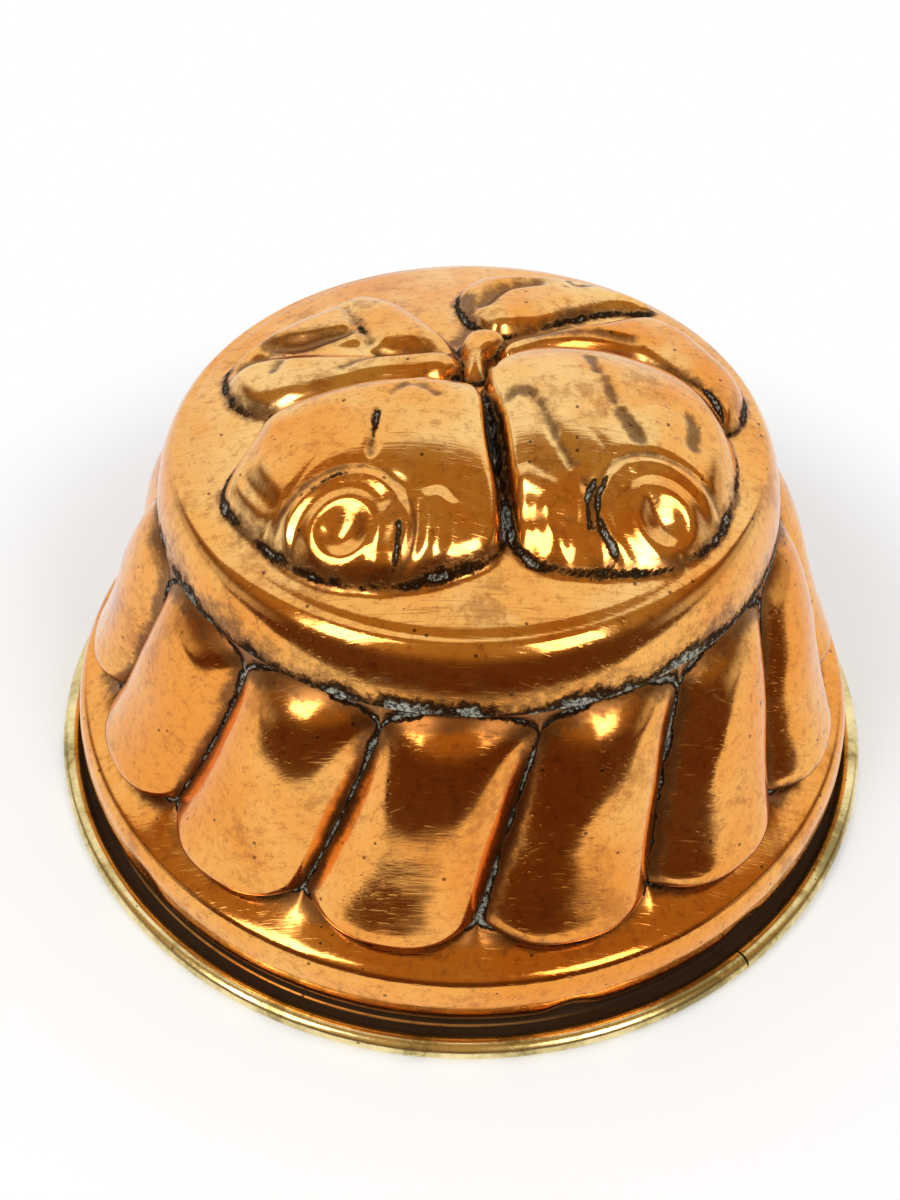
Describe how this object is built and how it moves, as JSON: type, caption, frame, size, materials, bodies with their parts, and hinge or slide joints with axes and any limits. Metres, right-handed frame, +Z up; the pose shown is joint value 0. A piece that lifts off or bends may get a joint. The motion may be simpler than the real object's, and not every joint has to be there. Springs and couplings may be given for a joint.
{
  "type": "charlotte mould",
  "caption": "Round copper mould, mouth down: slanted lobes round the wall, fruit and leaf relief on the crown, brass-bound rim and a hanging ring.",
  "frame": {"origin": "centre of the bounding box at table level, midway between the front of the rim and the far side of the hanging ring", "axes": "+Z up, from the open mouth to the crown; +Y towards the hanging ring at the back; +X to the right seen from the front"},
  "size_m": [0.21, 0.2406, 0.1125],
  "materials": {
    "polished_copper": "polished copper with worn patches, pale residue in the crevices",
    "aged_brass": "aged brass with an olive tarnish",
    "iron_wire": "plain iron wire"
  },
  "bodies": {
    "mould": {"copper_shell": "polished_copper", "rim_band": "aged_brass", "rim_wire": "iron_wire", "ring_lug": "aged_brass"},
    "ring": {"hanging_ring": "aged_brass"}
  },
  "joints": [
    {"name": "ring_swing", "type": "hinge", "parent": "mould", "child": "ring", "pos_m": [0, 0.09297, 0.0032], "axis": [1, 0, 0], "range_deg": [-110, 115]}
  ]
}
